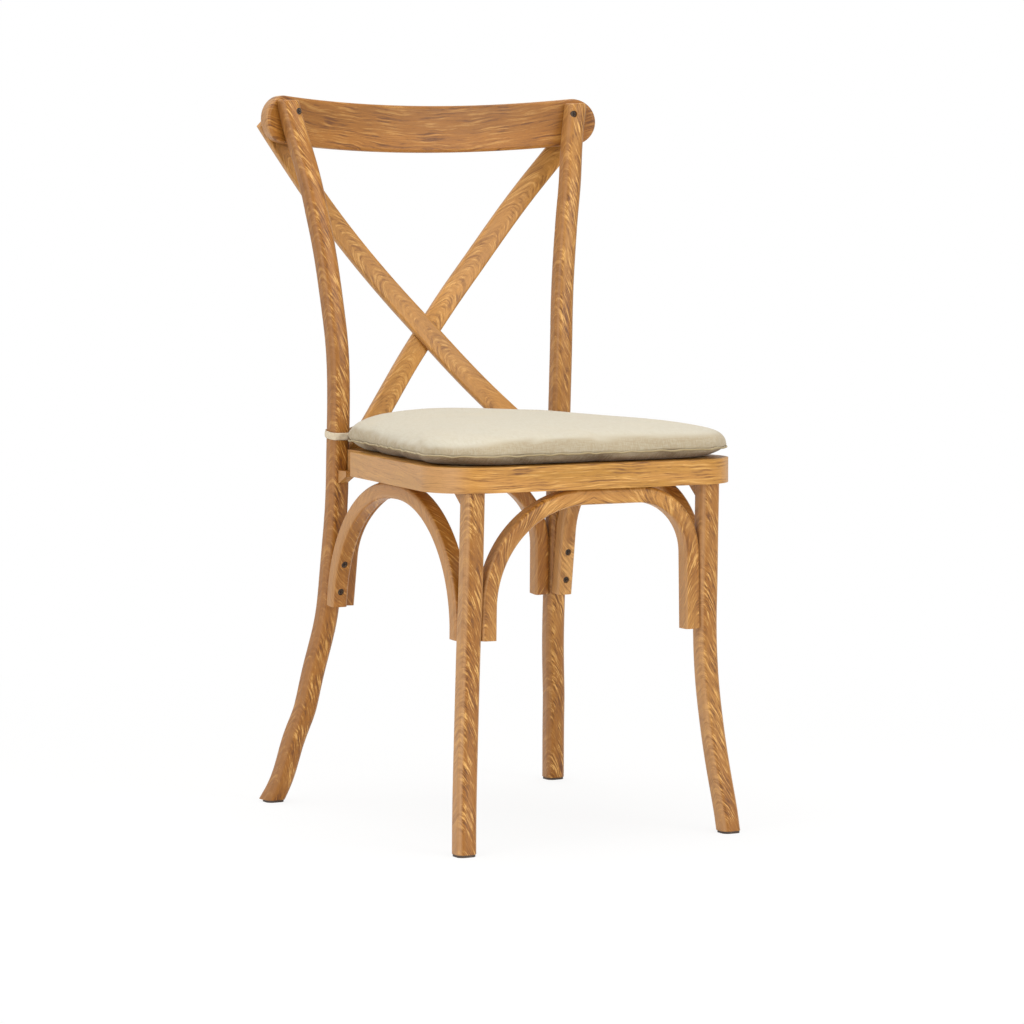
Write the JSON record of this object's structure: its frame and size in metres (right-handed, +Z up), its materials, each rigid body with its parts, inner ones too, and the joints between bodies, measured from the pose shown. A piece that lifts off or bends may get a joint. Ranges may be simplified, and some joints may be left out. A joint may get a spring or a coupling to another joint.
{
  "type": "cross back dining chair",
  "caption": "Bent oak dining chair with crossed back slats, bowed crest rail, bracing arches under the seat ring and a tied linen seat cushion.",
  "frame": {"origin": "on the floor under the middle of the chair's bounding box", "axes": "+Z up, -Y the way the sitter faces, +X to the right for someone who looks at the chair from the front"},
  "size_m": [0.475, 0.5134, 0.8985],
  "materials": {
    "oak": "honey stained oak with a satin lacquer and open dark grain",
    "plywood": "bare plywood",
    "linen": "natural linen weave",
    "linen_tape": "natural linen tape",
    "foam": "open-cell cushion foam",
    "glide_plastic": "dark moulded plastic",
    "dark_steel": "blackened screw steel",
    "nail_steel": "plain nail steel"
  },
  "bodies": {
    "root": {"front_leg_left": "oak", "front_leg_right": "oak", "rear_post_left": "oak", "rear_post_right": "oak", "seat_ring": "oak", "arch_front": "oak", "arch_rear": "oak", "arch_left": "oak", "arch_right": "oak", "front_block_left": "oak", "front_block_right": "oak", "rear_block_left": "oak", "rear_block_right": "oak", "crest_rail": "oak", "cross_slat_front": "oak", "cross_slat_rear": "oak", "seat_panel": "plywood", "cushion_cover": "linen", "cushion_foam": "foam", "cushion_tie_left": "linen_tape", "cushion_tie_right": "linen_tape", "glide_front_left": "glide_plastic", "glide_front_right": "glide_plastic", "glide_rear_left": "glide_plastic", "glide_rear_right": "glide_plastic", "arch_screws": "dark_steel", "arch_crown_screws": "dark_steel", "post_screws": "dark_steel", "rail_screws": "dark_steel", "slat_screws": "dark_steel", "panel_screws": "dark_steel", "glide_nails": "nail_steel"}
  },
  "joints": []
}
